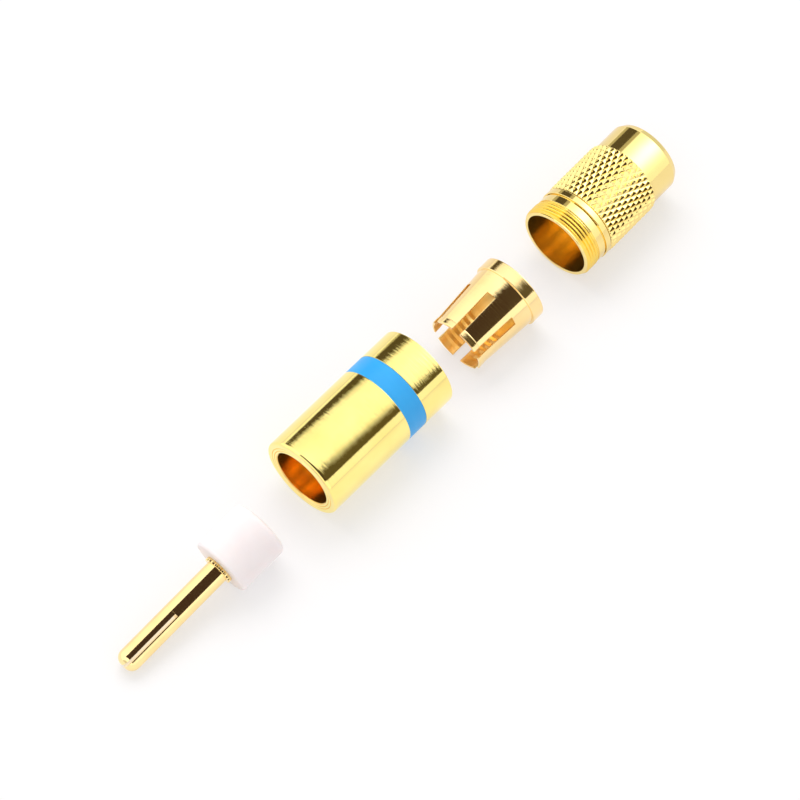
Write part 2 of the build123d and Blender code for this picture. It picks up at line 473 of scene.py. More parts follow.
def linear(red: int, green: int, blue: int) -> Colour:
    """A screen colour of 0 to 255 a channel as the linear numbers that shaders take."""
    share = np.array([red, green, blue]) / 255.0
    curve = np.where(share <= 0.04045, share / 12.92, ((share + 0.055) / 1.055) ** 2.4)
    return tuple(float(value) for value in curve)


class Tone(Enum):
    """Gold plate as each piece shows it: (bright colour, darker colour that a cloud mixes in)."""

    LEMON = (linear(253, 234, 146), linear(232, 200, 84))
    PALE = (linear(253, 231, 150), linear(234, 194, 98))
    WARM = (linear(253, 226, 160), linear(234, 186, 100))
    HONEY = (linear(253, 228, 162), linear(216, 166, 92))
    THREAD = (linear(252, 217, 100), linear(232, 180, 62))
    # The last three are darker, more orange golds for the insides of bores: painted shade.
    SLEEVE_BORE_SHADE = (linear(253, 224, 140), linear(234, 184, 92))
    BARREL_BORE_SHADE = (linear(252, 211, 118), linear(228, 158, 68))
    COLLET_BORE_SHADE = (linear(252, 216, 138), linear(236, 178, 88))


@dataclass(frozen=True)
class GoldPlate:
    """Polished gold plate with the fine lines that turning leaves across the axis."""

    name: str
    tone: Tone
    roughness: float
    line_depth: float
    line_pitch: float
    grain_depth: float = 0.0002

    def material(self) -> bpy.types.Material:
        """Builds the metal.

        Lines: noise stretched round the piece, its height bending the normal along the axis. Grain: an
        even noise of a finer scale. The roughness drifts with the lines and, like the colour, with a cloud.

        Returns:
            The material.
        """
        made = bpy.data.materials.new(self.name)
        bench = Bench(made)
        lines = bench.noise(bench.wrap(0.06, 1.0), 1.0 / self.line_pitch, 3.0, 0.6)
        grain = bench.noise(bench.wrap(1.0, 1.0), 5.0, 3.0, 0.6)
        cloud = bench.noise(bench.object_space(), 260.0, 2.0)
        bent = bench.bump(lines, self.line_depth)
        bent = bench.bump(grain, self.grain_depth, bent)
        bright, deep = self.tone.value
        tint = bench.blend(cloud.ramp(0.35, 0.8) * 0.25, bright, deep)
        shader = bench.add("ShaderNodeBsdfPrincipled", None, {
            "Base Color": tint, "Metallic": 1.0, "Roughness": self.roughness + lines * 0.03 + cloud * 0.02,
            "Normal": bent})
        bench.surface(shader)
        return made


@dataclass(frozen=True)
class BandLacquer:
    """Blue band: a smooth lacquered plastic ring with a faint orange-peel."""

    name: str = "band_lacquer"
    colour: Colour = linear(6, 160, 233)

    def material(self) -> bpy.types.Material:
        """Builds the lacquer: a slow cloud in the colour under a glossy coat with fine orange-peel.

        Returns:
            The material.
        """
        made = bpy.data.materials.new(self.name)
        bench = Bench(made)
        cloud = bench.noise(bench.wrap(0.25, 0.6), 1.0, 2.0)
        peel = bench.noise(bench.wrap(1.0, 1.0), 2.6, 2.0)
        tint = bench.blend(cloud.ramp(0.3, 0.75) * 0.5, self.colour, linear(18, 172, 241))
        shader = bench.add("ShaderNodeBsdfPrincipled", None, {
            "Base Color": tint, "Roughness": 0.42 + peel * 0.08, "Coat Weight": 0.12, "Coat Roughness": 0.15,
            "Normal": bench.bump(peel, 0.002)})
        bench.surface(shader)
        return made


@dataclass(frozen=True)
class NaturalPlastic:
    """White insulator plastic, slightly see-through at its edges, turned on a lathe."""

    name: str = "natural_plastic"
    colour: Colour = linear(247, 238, 237)

    def material(self) -> bpy.types.Material:
        """Builds the plastic: light that spreads under the skin, faint tool lines and soft mottling.

        Returns:
            The material.
        """
        made = bpy.data.materials.new(self.name)
        bench = Bench(made)
        lines = bench.noise(bench.wrap(0.05, 1.0), 3.2, 2.0)
        mottle = bench.noise(bench.object_space(), 420.0, 3.0)
        tint = bench.blend(mottle.ramp(0.3, 0.75) * 0.6, self.colour, linear(243, 231, 231))
        shader = bench.add("ShaderNodeBsdfPrincipled", None, {
            "Base Color": tint, "Roughness": 0.36 + mottle * 0.1, "Subsurface Weight": 0.35,
            "Subsurface Radius": (0.0012, 0.0009, 0.0008), "Subsurface Scale": 1.0, "IOR": 1.5,
            "Normal": bench.bump(lines, 0.0015)})
        bench.surface(shader)
        return made


# The loose pieces


@dataclass
class CentrePin:
    """Split pin with a round tip, a serrated collar and a shank that stands in the insulator."""

    radius: float = 1.6
    length: float = 17.2
    tip_round: float = 1.25
    slit_width: float = 0.42
    slit_length: float = 9.0
    slit_turn: float = 30.0
    collar_radius: float = 2.05
    collar_thick: float = 0.55
    collar_notches: int = 20
    notch_depth: float = 0.15
    shank_radius: float = 1.5
    shank_end: float = 6.9
    socket_radius: float = 1.05
    socket_depth: float = 5.0
    edge_break: float = 0.05
    arc_points: int = 40
    chord_points: int = 12

    def section(self, rows: np.ndarray) -> tuple[np.ndarray, np.ndarray]:
        """Outlines of a prong, with the slit below it.

        Each is the part of a circle of radius R(s) that lies more than half the slit from the middle: an
        arc from angle a to pi - a, where sin a = half the slit / R, closed by a flat chord. R follows a
        quarter circle at the tip: R = R0 - r + sqrt(r^2 - (r - s)^2).

        Args:
            rows: distance s of each outline from the tip.

        Returns:
            (y, z), one row for each outline: the arc's points, then the chord's.
        """
        drop = np.clip(self.tip_round - rows, 0.0, None)
        radius = self.radius - self.tip_round + np.sqrt(np.clip(self.tip_round ** 2 - drop ** 2, 0.0, None))
        half, radius = self.slit_width / 2, radius[:, None]
        edge = np.arcsin(np.clip(half / radius, 0.0, 0.999))
        turn = edge + (math.pi - 2 * edge) * np.linspace(0.0, 1.0, self.arc_points)[None, :]
        chord = radius * np.cos(edge) * np.linspace(-1.0, 1.0, self.chord_points + 2)[None, 1:-1]
        y = np.concatenate([radius * np.cos(turn), chord], axis=1)
        return y, np.concatenate([radius * np.sin(turn), np.full_like(chord, half)], axis=1)

    def prong(self, lay: Lay, side: int) -> bpy.types.Object:
        """One prong of the split tip, its outlines closed at both ends by a fan and its edges broken.

        Args:
            lay: where the pin lies.
            side: +1 or -1, the side of the slit.

        Returns:
            The prong.
        """
        bend_rows, straight_rows = 22, 26
        bend = self.tip_round * (1 - np.cos(np.linspace(0.0, 1.0, bend_rows) * math.pi / 2))
        rows = np.concatenate([bend, np.linspace(bend[-1], self.slit_length, straight_rows)[1:]])
        y, z = self.section(rows)
        roll = math.radians(self.slit_turn) + (0.0 if side > 0 else math.pi)
        across, up = z * math.cos(roll) - y * math.sin(roll), z * math.sin(roll) + y * math.cos(roll)
        points = lay.place(rows[:, None] - self.length, np.hypot(across, up), np.arctan2(up, across))
        count = points.shape[1]
        ends = points[[0, -1]].mean(axis=1)
        flat_points = np.concatenate([points.reshape(-1, 3), ends])
        faces = lattice(len(rows), count, False, True)
        here = np.arange(count)
        beside, last = (here + 1) % count, (len(rows) - 1) * count
        hub = np.full(count, len(flat_points) - 2)
        caps = [np.stack([here, beside, hub], axis=-1),
                np.stack([last + beside, last + here, hub + 1], axis=-1)]
        triangles = np.concatenate([faces[:, [0, 1, 2]], faces[:, [0, 2, 3]], *caps])
        around = np.concatenate([np.tile(here * self.radius / 5, len(rows)), [0.0, 0.0]])
        along = np.concatenate([np.repeat(rows, count), [0.0, self.slit_length]])
        piece = Mould.cast(f"pin_prong_{'a' if side > 0 else 'b'}", flat_points, triangles,
                           np.stack([around, along], axis=-1))
        Mould.close(piece)
        piece.data.set_sharp_from_angle(angle=math.radians(35))
        bevel = piece.modifiers.new("edge", "BEVEL")
        bevel.width, bevel.segments, bevel.angle_limit = self.edge_break * MM, 2, math.radians(50)
        return piece

    def root(self, lay: Lay) -> bpy.types.Object:
        """Solid run behind the slit and the shank with its solder socket, as one turned part.

        Args:
            lay: where the pin lies.

        Returns:
            The run and the shank.
        """
        front, step, floor = self.slit_length - self.length, -0.3, self.shank_end - self.socket_depth
        return Mould.spun("pin_root", lay, softened([
            (front, 0.0, 0.0), (front, self.radius, 0.01), (step, self.radius, 0.05),
            (step, self.shank_radius, 0.02), (self.shank_end, self.shank_radius, 0.06),
            (self.shank_end, self.socket_radius, 0.06), (floor, self.socket_radius, 0.05),
            (floor - 0.5, 0.0, 0.0)], closed=False), 160, closed=False)

    def collar(self, lay: Lay) -> bpy.types.Object:
        """Serrated collar: a short disc whose rim dips at each notch.

        The rim's radius is R0 - k d * clip(1 - (1 - v(n turn / 2 pi)) / w, 0, 1), where d is the notch
        depth, n the number of notches, v the V wave, w the notch's share of a pitch and k an overcut.

        Args:
            lay: where the pin lies.

        Returns:
            The collar.
        """
        per_notch, notch_share, overcut = 16, 0.55, 1.35
        around = self.collar_notches * per_notch
        turn = np.linspace(0.0, 2 * math.pi, around + 1)
        wave = 1 - vee(turn * self.collar_notches / (2 * math.pi))
        dip = self.notch_depth * overcut * np.clip(1 - wave / notch_share, 0.0, 1.0)
        inner = self.radius - 0.05
        profile = softened([(-self.collar_thick, inner, 0.0), (-self.collar_thick, self.collar_radius, 0.08),
                            (0.0, self.collar_radius, 0.03), (0.0, inner, 0.0)], 3)
        share = np.clip((profile[:, 1] - self.radius) / (self.collar_radius - self.radius), 0.0, 1.0)
        radius = profile[:, 1][:, None] - dip[None, :] * share[:, None]
        points, wrap = Mould.ring(lay, profile[:, 0], radius, turn, self.collar_radius - 0.05)
        faces = lattice(len(profile), around + 1, True, False)
        piece = Mould.close(Mould.cast("pin_collar", points, faces, wrap))
        piece.data.set_sharp_from_angle(angle=math.radians(40))
        return piece


@dataclass
class Insulator:
    """Turned white ring that holds the pin's shank. It rests on its front edge, nominally rest_round."""

    radius: float = 4.15
    length: float = 7.5
    rest_round: float = 0.45
    edge_round: float = 0.5
    rear_round: float = 0.9
    bore: float = 1.52

    def body(self, lay: Lay) -> bpy.types.Object:
        """The ring, its rear edge rounder than its front one."""
        return Mould.spun("insulator_body", lay, softened([
            (0.0, self.bore, 0.05), (0.0, self.radius, self.edge_round),
            (self.length, self.radius, self.rear_round), (self.length, self.bore, 0.05)], 9), 256)


@dataclass
class Barrel:
    """Outer shell: rounded mouth, closing cone, seat for the collet and rear end for the sleeve."""

    radius: float = 5.9
    length: float = 22.0
    mouth: float = 4.2
    mouth_chamfer: float = 0.12
    mouth_round: float = 0.75
    face_lines: tuple[float, float] = (4.62, 5.02)
    face_line_depth: float = 0.12
    cone_start: float = 5.903
    cone_end: float = 7.97
    cone_radius: float = 4.82
    seat: float = 16.35
    seat_radius: float = 5.05
    thread_from: float = 18.22
    thread_radius: float = 5.55
    band_start: float = 14.0
    band_width: float = 3.05
    band_thick: float = 0.2
    band_recess: float = 0.03

    def shell(self, lay: Lay) -> bpy.types.Object:
        """The turned shell in one closed profile, with two fine ring lines round the mouth's face.

        Args:
            lay: where the barrel lies.

        Returns:
            The shell.
        """
        play, line_half, line_round = 0.01, 0.055, 0.015
        groove = self.radius - self.band_recess - self.band_thick
        groove_start, groove_end = self.band_start - play, self.band_start + self.band_width + play
        rings = [(self.face_line_depth * (step == 0), ring + line_half * step, line_round)
                 for ring in self.face_lines for step in (-1, 0, 1)]
        return Mould.spun("barrel_shell", lay, softened([
            (self.mouth_chamfer, self.mouth, 0.05), (0.0, self.mouth + self.mouth_chamfer, 0.05), *rings,
            (0.0, self.radius, self.mouth_round), (groove_start, self.radius, 0.04),
            (groove_start, groove, 0.0), (groove_end, groove, 0.0), (groove_end, self.radius, 0.04),
            (self.length, self.radius, 0.14), (self.length, self.thread_radius, 0.05),
            (self.thread_from, self.thread_radius, 0.03), (self.thread_from, self.seat_radius, 0.04),
            (self.seat, self.seat_radius, 0.03), (self.seat, self.cone_radius, 0.04),
            (self.cone_end, self.cone_radius, 0.2), (self.cone_start, self.mouth, 0.2)], 7), 320)

    def band(self, lay: Lay) -> bpy.types.Object:
        """The colour band, a thin ring let into its groove.

        Args:
            lay: where the barrel lies.

        Returns:
            The ring.
        """
        high, start = self.radius - self.band_recess, self.band_start
        low, end = high - self.band_thick, start + self.band_width
        return Mould.spun("band_ring", lay, softened([
            (start, low, 0.0), (start, high, 0.03), (end, high, 0.03), (end, low, 0.0)], 3), 320)


@dataclass
class Collet:
    """Slotted tube whose six springy fingers lean inwards, with a flange behind."""

    bore: float = 4.18
    spring: float = 0.32
    lip_radius: float = 4.2
    lip_length: float = 0.9
    lip_step: float = 0.06
    lip_nose: float = 0.1
    nose_drop: float = 0.07
    tip_sink: float = 0.035
    tip_run: float = 0.04
    rear_radius: float = 4.72
    cone_length: float = 9.48
    length: float = 11.35
    flange_radius: float = 5.0
    flange_round: float = 0.12
    slot_width: float = 1.3
    slot_length: float = 6.8
    slots: int = 6
    slot_turn: float = 32.5
    ridge_pitch: float = 1.0
    ridge_depth: float = 0.06
    ridge_count: int = 5

    def outside(self, station: np.ndarray) -> np.ndarray:
        """Outer radius: the lip with its softened nose, a small step down, then a straight cone behind.

        Args:
            station: distance from the tips.

        Returns:
            One radius for each station.
        """
        front = self.lip_radius - self.lip_step
        rise = (self.rear_radius - front) / (self.cone_length - self.lip_length)
        cone = front + rise * (station - self.lip_length)
        lip = self.lip_radius - self.nose_drop * np.clip(1 - station / self.lip_nose, 0, 1) ** 2
        share = np.clip((station - self.lip_length) / self.lip_step, 0.0, 1.0)
        return lip * (1 - share) + cone * share

    def inside(self, station: np.ndarray) -> np.ndarray:
        """Inner radius: a bore that closes towards the tips, with a V wave of ridges behind the lip.

        Args:
            station: distance from the tips.

        Returns:
            One radius for each station.
        """
        bore = self.bore - self.spring * np.clip(1 - station / self.slot_length, 0.0, 1.0)
        place = (station - self.lip_length) / self.ridge_pitch
        return bore + self.ridge_depth * vee(place) * ((place > 0) & (place < self.ridge_count))

    def half_turn(self, radius: np.ndarray, gap: float | np.ndarray) -> np.ndarray:
        """Half the angle that a finger spans at a radius when its wall is gap away from the slot's middle."""
        return math.pi / self.slots - np.arcsin(gap / radius)

    def finger(self, lay: Lay, number: int) -> bpy.types.Object:
        """One finger between two slots.

        A slot's wall stays half the slot's width from the plane through the axis, so at radius R it lies
        asin(half width / R) from that plane. The section runs along the outer arc, down one wall, back
        along the inner arc and up the other wall. A nib, taken off both ways, softens its four edges.

        Args:
            lay: where the collet lies.
            number: which finger.

        Returns:
            The finger, closed at both ends.
        """
        nose = [0.0, 0.006, 0.02, 0.04, 0.07, 0.1]
        station = np.unique(np.concatenate([nose, np.arange(0.15, self.slot_length, 0.05),
                                            [self.lip_length, self.lip_length + self.lip_step],
                                            [self.slot_length - 0.03, self.slot_length + 0.02]]))[:, None]
        sunk = self.tip_sink * np.clip(1 - station / self.tip_run, 0.0, 1.0) ** 2
        outer, inner = self.outside(station) - sunk, self.inside(station) + sunk
        nib, slant, arc = 0.03, 0.3, 39
        across = np.linspace(-1.0, 1.0, arc)[None, :]
        near = self.slot_width / 2 + np.array([[slant, 0.0, 0.0, slant]]) * nib
        wall = np.concatenate([outer - slant * nib, outer - nib, inner + nib, inner + slant * nib], axis=1)
        corner = self.slot_width / 2 + nib
        side = self.half_turn(wall, near)
        turn = np.concatenate([self.half_turn(outer, corner) * across, side,
                               -self.half_turn(inner, corner) * across, -side[:, ::-1]], axis=1)
        radius = np.concatenate([np.repeat(outer, arc, 1), wall, np.repeat(inner, arc, 1),
                                 wall[:, ::-1]], axis=1)
        middle = math.radians(self.slot_turn) + (number + 0.5) * 2 * math.pi / self.slots
        points = lay.place(station, radius, middle + turn)
        rows, count = radius.shape
        step = np.arange(-2, arc + 2)
        upper, lower = step % count, 2 * arc + 3 - step
        cap = np.stack([upper[:-1], upper[1:], lower[1:], lower[:-1]], axis=-1)
        faces = np.concatenate([lattice(rows, count, False, True), cap[:, ::-1], cap + (rows - 1) * count])
        run = np.concatenate([[0.0], np.cumsum(np.linalg.norm(np.diff(points[0], axis=0), axis=1))])
        wrap = np.stack(np.broadcast_arrays(run[None, :], station), axis=-1).reshape(-1, 2)
        piece = Mould.close(Mould.cast(f"collet_finger_{number + 1}", points.reshape(-1, 3), faces, wrap))
        piece.data.set_sharp_from_angle(angle=math.radians(55))
        return piece

    def ring(self, lay: Lay) -> bpy.types.Object:
        """Unslotted rear of the tube with its flange, one closed profile.

        Args:
            lay: where the collet lies.

        Returns:
            The ring.
        """
        start = self.slot_length
        here = float(self.outside(np.array(start)))
        return Mould.spun("collet_ring", lay, softened([
            (start, self.bore, 0.02), (start, here, 0.02), (self.cone_length, self.rear_radius, 0.05),
            (self.cone_length, self.flange_radius, self.flange_round),
            (self.length, self.flange_radius, self.flange_round), (self.length, self.bore, 0.08)], 5), 256)


@dataclass
class Sleeve:
    """Rear sleeve: thread, guide band, shoulder, crossed knurl and smooth tail with the cable hole."""

    bore: float = 4.8
    thread_radius: float = 5.5
    thread_depth: float = 0.24
    thread_pitch: float = 0.5
    thread_start: float = 0.2
    thread_end: float = 2.3
    guide_radius: float = 5.425
    guide_start: float = 2.45
    guide_end: float = 3.6
    groove_depth: float = 0.35
    shoulder_start: float = 3.78
    shoulder_end: float = 4.63
    shoulder_radius: float = 5.575
    knurl_start: float = 4.81
    knurl_length: float = 9.0
    knurl_radius: float = 5.65
    knurl_depth: float = 0.23
    knurl_teeth: int = 44
    knurl_rounds: int = 5
    tail_radius: float = 5.32
    length: float = 18.86
    tail_run: float = 0.85
    tail_drop: float = 0.42
    bore_depth: float = 11.0
    cable_radius: float = 3.9

    def body(self, lay: Lay) -> bpy.types.Object:
        """The turned blank in one closed profile; thread and knurl are rings laid over it.

        Args:
            lay: where the sleeve lies.

        Returns:
            The blank.
        """
        deep, root = self.shoulder_radius - self.groove_depth, self.thread_radius - self.thread_depth
        under = self.knurl_radius - self.knurl_depth - 0.03
        knurl_end, chamfer = self.knurl_start + self.knurl_length, 0.3
        return Mould.spun("sleeve_body", lay, softened([
            (0.0, self.bore, 0.06), (0.0, root, 0.08), (self.thread_start, root - 0.02, 0.0),
            (self.guide_start, root - 0.02, 0.03), (self.guide_start, self.guide_radius, 0.05),
            (self.guide_end, self.guide_radius, 0.05), (self.guide_end, deep, 0.02),
            (self.shoulder_start, deep, 0.02), (self.shoulder_start, self.shoulder_radius, 0.08),
            (self.shoulder_end, self.shoulder_radius, 0.08), (self.shoulder_end, deep, 0.02),
            (self.knurl_start, deep, 0.02), (self.knurl_start, under, 0.0), (knurl_end, under, 0.0),
            (knurl_end, self.tail_radius, 0.02), (self.length - self.tail_run, self.tail_radius, 0.35),
            (self.length, self.tail_radius - self.tail_drop, 0.3),
            (self.length, self.cable_radius + chamfer, 0.06),
            (self.length - chamfer, self.cable_radius, 0.06), (self.bore_depth, self.cable_radius, 0.05),
            (self.bore_depth, self.bore, 0.1)], 6), 320)

    def thread(self, lay: Lay) -> bpy.types.Object:
        """Fine helical thread on a closed ring.

        The outer radius is root + depth * v(s / pitch - turn / 2 pi), where v is the V wave with its
        crest cut flat, and it sinks to the root over a third of a pitch at both ends.

        Args:
            lay: where the sleeve lies.

        Returns:
            The ring.
        """
        around, rows, crest_cut, fade_share, wall = 240, 121, 1.25, 0.33, 0.1
        turn = np.linspace(0.0, 2 * math.pi, around + 1) - math.pi / 2
        station = np.linspace(self.thread_start, self.thread_end, rows)
        crest = vee(station[:, None] / self.thread_pitch - turn[None, :] / (2 * math.pi))
        gap = np.minimum(station - self.thread_start, self.thread_end - station)
        fade = np.clip(gap / (fade_share * self.thread_pitch), 0, 1)
        root = self.thread_radius - self.thread_depth
        radius = root + self.thread_depth * np.clip(crest * crest_cut, 0.0, 1.0) * fade[:, None]
        inner = np.full((1, around + 1), root - wall)
        radius = np.concatenate([radius, inner, inner])
        station = np.concatenate([station, station[[-1]], station[[0]]])
        points, wrap = Mould.ring(lay, station, radius, turn, self.thread_radius - 0.1)
        faces = lattice(len(station), around + 1, True, False)
        return Mould.close(Mould.cast("sleeve_thread", points, faces, wrap))

    def knurl(self, lay: Lay) -> bpy.types.Object:
        """Crossed knurl on a closed ring.

        The height is min(v(a + b), v(a - b)), where a = teeth * turn / 2 pi, b = rounds * s / length and v
        is the V wave. The grid has twelve points to each wave both ways, so that both rows of grooves run
        through its corners, and each cell is split along the groove that crosses it.
        Crests and grooves are flattened a little and both ends of the ring are chamfered.

        Args:
            lay: where the sleeve lies.

        Returns:
            The ring.
        """
        fine, rim_rise, rim_slope, wall = 12, 0.03, 1.1, 0.12
        around, rows = self.knurl_teeth * fine, self.knurl_rounds * fine + 1
        i, j = np.meshgrid(np.arange(rows), np.arange(around + 1), indexing="ij")
        crest, trough = 0.9, 0.07
        height = np.clip(np.minimum(vee((i + j) / fine), vee((i - j) / fine)), trough, crest)
        station = self.knurl_start + self.knurl_length * i[:, 0] / (rows - 1)
        turn = 2 * math.pi * j[0] / around - math.pi / 2
        root = self.knurl_radius - self.knurl_depth
        gap = np.minimum(station - self.knurl_start, self.knurl_start + self.knurl_length - station)
        chamfer = root + rim_rise + gap[:, None] * rim_slope
        radius = np.minimum(root + self.knurl_depth * height / crest, chamfer)
        inner = np.full((1, around + 1), root - wall)
        station = np.concatenate([station, station[[-1]], station[[0]]])
        radius = np.concatenate([radius, inner, inner])
        points, wrap = Mould.ring(lay, station, radius, turn, self.knurl_radius - 0.05)
        quads = lattice(len(station), around + 1, True, False)
        row, column = quads[:, 0] // (around + 1), quads[:, 0] % (around + 1)
        falling = ((row - column) % (fine // 2) == 0)[:, None]
        first = np.where(falling, quads[:, [0, 1, 2]], quads[:, [0, 1, 3]])
        second = np.where(falling, quads[:, [0, 2, 3]], quads[:, [1, 2, 3]])
        piece = Mould.cast("sleeve_knurl", points, np.concatenate([first, second]), wrap)
        Mould.close(piece)
        piece.data.set_sharp_from_angle(angle=math.radians(24))
        return piece


# How the pieces lie


@dataclass
class Row:
    """The four loose items in line, pin tip at -X, each resting on the floor."""

    pin: CentrePin = field(default_factory=CentrePin)
    insulator: Insulator = field(default_factory=Insulator)
    barrel: Barrel = field(default_factory=Barrel)
    collet: Collet = field(default_factory=Collet)
    sleeve: Sleeve = field(default_factory=Sleeve)

    gap_pin: float = 7.9
    gap_barrel: float = 6.34
    gap_collet: float = 8.24
    middle: float = -0.975
    pin_side: float = 1.6
    pin_yaw: float = -2.8
    barrel_side: float = 1.7
    barrel_yaw: float = -1.0
    collet_side: float = 0.375
    collet_yaw: float = -1.75

    def lays(self) -> dict[str, Lay]:
        """Where each item lies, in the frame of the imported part.

        The pin unit rests on its round tip and the insulator's round front edge, so its tilt t solves
        (tip round - edge round) = hypot(rise, run) cos(t + atan2(run, rise)). The collet rests on the
        corners of its lip and its flange. The row is centred on X = 0.

        Returns:
            A Lay for pin, barrel, collet and sleeve. The insulator shares the pin's.
        """
        pin, ring, collet, edge = self.pin, self.insulator, self.collet, self.insulator.rest_round
        rise = (ring.radius - edge) - (pin.radius - pin.tip_round)
        run = (pin.length - pin.tip_round) + edge
        tilt = math.acos((pin.tip_round - edge) / math.hypot(rise, run)) - math.atan2(run, rise)
        height = (ring.radius - edge) * math.cos(tilt) + edge * (1 - math.sin(tilt))
        lean = math.atan2(collet.flange_radius - collet.lip_radius, collet.cone_length - collet.lip_nose)
        low = collet.lip_radius * math.cos(lean) - collet.lip_nose * math.sin(lean)
        unit_run, collet_run = (pin.length + ring.length) * math.cos(tilt), collet.length * math.cos(lean)
        gaps = self.gap_pin + self.gap_barrel + self.gap_collet
        total = unit_run + self.barrel.length + collet_run + self.sleeve.length + gaps
        pin_x = pin.length * math.cos(tilt) - total / 2
        barrel_x = unit_run + self.gap_pin - total / 2
        collet_x = barrel_x + self.barrel.length + self.gap_barrel
        sleeve_x = collet_x + collet_run + self.gap_collet
        return {
            "pin": Lay(pin_x, self.middle + self.pin_side, height, self.pin_yaw, math.degrees(tilt)),
            "barrel": Lay(barrel_x, self.middle + self.barrel_side, self.barrel.radius, self.barrel_yaw),
            "collet": Lay(collet_x, self.middle + self.collet_side, low, self.collet_yaw, math.degrees(lean)),
            "sleeve": Lay(sleeve_x, self.middle, self.sleeve.knurl_radius),
        }

    def build(self) -> None:
        """Makes, dresses and hangs every piece on the part's one body."""
        lays = self.lays()
        barrel_gold = GoldPlate("barrel_gold", Tone.LEMON, 0.025, 0.0075, 0.26).material()
        sleeve_gold = GoldPlate("sleeve_gold", Tone.PALE, 0.06, 0.004, 0.3).material()
        collet_gold = GoldPlate("collet_gold", Tone.WARM, 0.05, 0.008, 0.24).material()
        pin_gold = GoldPlate("pin_gold", Tone.HONEY, 0.06, 0.006, 0.22).material()
        thread_gold = GoldPlate("thread_gold", Tone.THREAD, 0.12, 0.002, 0.12).material()
        # The three golds for the insides of bores are darker and more orange than the outer ones: painted
        # shade.
        sleeve_bore_shaded_gold = GoldPlate("sleeve_bore_shaded_gold", Tone.SLEEVE_BORE_SHADE, 0.16, 0.004, 0.35).material()
        barrel_bore_shaded_gold = GoldPlate("barrel_bore_shaded_gold", Tone.BARREL_BORE_SHADE, 0.16, 0.004, 0.35).material()
        collet_bore_shaded_gold = GoldPlate("collet_bore_shaded_gold", Tone.COLLET_BORE_SHADE, 0.27, 0.006, 0.3).material()
        plastic = NaturalPlastic().material()
        lacquer = BandLacquer().material()
        pin, barrel, collet, sleeve = lays["pin"], lays["barrel"], lays["collet"], lays["sleeve"]
        self.hang([self.pin.prong(pin, 1), self.pin.prong(pin, -1), self.pin.root(pin), self.pin.collar(pin)],
                  "centre_pin", "gold_plate", pin_gold)
        self.hang([self.insulator.body(pin)], "insulator", "insulator", plastic)
        shell, body = self.barrel.shell(barrel), self.sleeve.body(sleeve)
        self.hang([shell], "barrel", "gold_plate", barrel_gold)
        self.hang([self.barrel.band(barrel)], "colour_band", "band", lacquer)
        fingers = [self.collet.finger(collet, number) for number in range(self.collet.slots)]
        tube = [self.collet.ring(collet), *fingers]
        self.hang(tube, "collet", "gold_plate", collet_gold)
        self.hang([body, self.sleeve.knurl(sleeve)], "sleeve", "gold_plate", sleeve_gold)
        self.hang([self.sleeve.thread(sleeve)], "sleeve", "gold_plate", thread_gold)
        Mould.lined(shell, barrel, barrel_bore_shaded_gold, self.barrel.thread_radius)
        Mould.lined(body, sleeve, sleeve_bore_shaded_gold, self.sleeve.bore)
        for piece in tube:
            Mould.lined(piece, collet, collet_bore_shaded_gold)

    @staticmethod
    def hang(pieces: list[bpy.types.Object], node: str, slot: str, finish: bpy.types.Material) -> None:
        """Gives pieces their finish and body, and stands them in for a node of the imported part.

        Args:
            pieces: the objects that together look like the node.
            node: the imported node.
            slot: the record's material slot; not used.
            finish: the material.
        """
        for piece in pieces:
            piece.data.materials.append(finish)
            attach(piece, "root")
            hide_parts(node)
            LOG.info("%s: %d faces for %s", piece.name, len(piece.data.polygons), node)


# The studio


class Rays(Enum):
    """Kinds of ray that studio cards don't answer: only mirrors see them."""

    CAMERA = "visible_camera"
    SOFT = "visible_diffuse"
    SHADOW = "visible_shadow"
    THROUGH = "visible_transmission"
    FOG = "visible_volume_scatter"


@dataclass(frozen=True)
class Patch:
    """Piece of a great sphere round the object.

    A direction is (x, sqrt(1 - x^2) cos a, sqrt(1 - x^2) sin a): x is its share along the row and a the
    angle about the row from +Y towards up. Each outline entry is (x, lowest a, highest a) in degrees.
    """

    name: str
    outline: tuple[tuple[float, float, float], ...]
    distance: float

    def build(self, paint: bpy.types.Material) -> bpy.types.Object:
        """Builds the patch, its edges straight mixes between outline entries.

        Args:
            paint: its material.

        Returns:
            The patch, which only mirrors see.
        """
        rows, columns = 64, 40
        place, lowest, highest = np.array(self.outline).T
        across = np.linspace(place[0], place[-1], rows)[:, None]
        share = np.linspace(0.0, 1.0, columns)[None, :]
        low, high = np.interp(across, place, lowest), np.interp(across, place, highest)
        angle = np.radians(low * (1 - share) + high * share)
        ring = np.sqrt(1 - across ** 2)
        spread = np.broadcast_arrays(across, ring * np.cos(angle), ring * np.sin(angle))
        points = np.stack(spread, axis=-1).reshape(-1, 3) * self.distance
        card = Mould.cast(self.name, points, lattice(rows, columns, False, False))
        card.data.materials.append(paint)
        for kind in Rays:
            setattr(card, kind.value, False)
        return card


@dataclass(frozen=True)
class DarkCard:
    """Dark thing near the camera or behind the row, that polished metal shows as a dark stripe."""

    patch: Patch
    near: Colour
    far: Colour
    turn_over: tuple[float, float] = (0.1, 0.22)

    def build(self) -> None:
        """Paints the patch: its colour turns from near to far with the share along the row."""
        paint = bpy.data.materials.new(self.patch.name)
        bench = Bench(paint)
        along = bench.add("ShaderNodeSeparateXYZ", None, {0: bench.object_space()})
        x = along * (1.0 / (self.patch.distance * MM))
        bench.surface(bench.glow(bench.blend(x.ramp(*self.turn_over), self.near, self.far)))
        self.patch.build(paint)


